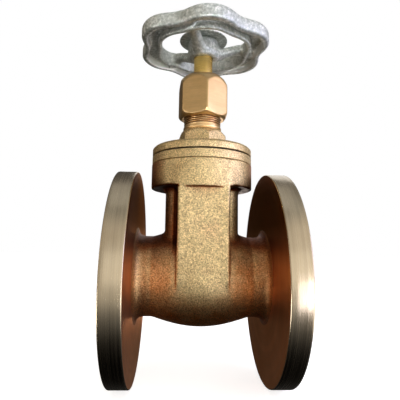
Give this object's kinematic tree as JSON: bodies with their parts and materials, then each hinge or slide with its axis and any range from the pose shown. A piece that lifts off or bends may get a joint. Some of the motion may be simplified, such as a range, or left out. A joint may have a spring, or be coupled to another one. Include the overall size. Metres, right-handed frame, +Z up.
{
  "type": "flanged gate valve",
  "caption": "Bronze flanged gate valve: undrilled round flanges, flat-fronted gate housing, screwed bonnet, packing nut and a lobed handwheel that lifts a wedge gate on a non-rising stem.",
  "frame": {"origin": "where the pipe's centreline and the stem's centreline cross, in the middle of the bore", "axes": "+X along the pipe, +Y away from the front panel of the body, +Z up the stem towards the handwheel"},
  "size_m": [0.131, 0.165, 0.295],
  "materials": {
    "cast_bronze": "sandblasted bronze casting, warm gold-brown, darker in the recesses; flange rims and faces turned bright",
    "machined_bronze": "turned and milled bronze, satin",
    "stem_brass": "bright turned brass",
    "galvanised_iron": "hot-dip galvanised iron casting, mottled silver-grey",
    "zinc_steel": "zinc-plated steel",
    "graphite_packing": "braided graphited packing",
    "fibre_gasket": "dark compressed fibre"
  },
  "bodies": {
    "body": {"valve_body": "cast_bronze", "seat_ring_left": "machined_bronze", "seat_ring_right": "machined_bronze", "bonnet": "cast_bronze", "bonnet_gasket": "fibre_gasket", "thrust_washer": "machined_bronze", "stem_retainer": "stem_brass", "packing_washer": "machined_bronze", "packing_ring_1": "graphite_packing", "packing_ring_2": "graphite_packing", "packing_ring_3": "graphite_packing", "packing_ring_4": "graphite_packing", "gland_follower": "machined_bronze", "packing_nut": "machined_bronze"},
    "spindle": {"stem": "stem_brass", "handwheel": "galvanised_iron", "name_disc": "galvanised_iron", "wheel_washer": "zinc_steel", "handwheel_nut": "zinc_steel"},
    "wedge": {"wedge_gate": "cast_bronze"}
  },
  "joints": [
    {"name": "stem_turn", "type": "hinge", "parent": "body", "child": "spindle", "pos_m": [0, 0, 0.112], "axis": [0, 0, 1], "range_deg": [0, 3780]},
    {"name": "wedge_lift", "type": "slide", "parent": "body", "child": "wedge", "axis": [0, 0, 1], "range_m": [0, 0.0526]}
  ],
  "couplings": [
    {"joint": "wedge_lift", "follows": "stem_turn", "m_per_rad": 0.00079577}
  ]
}
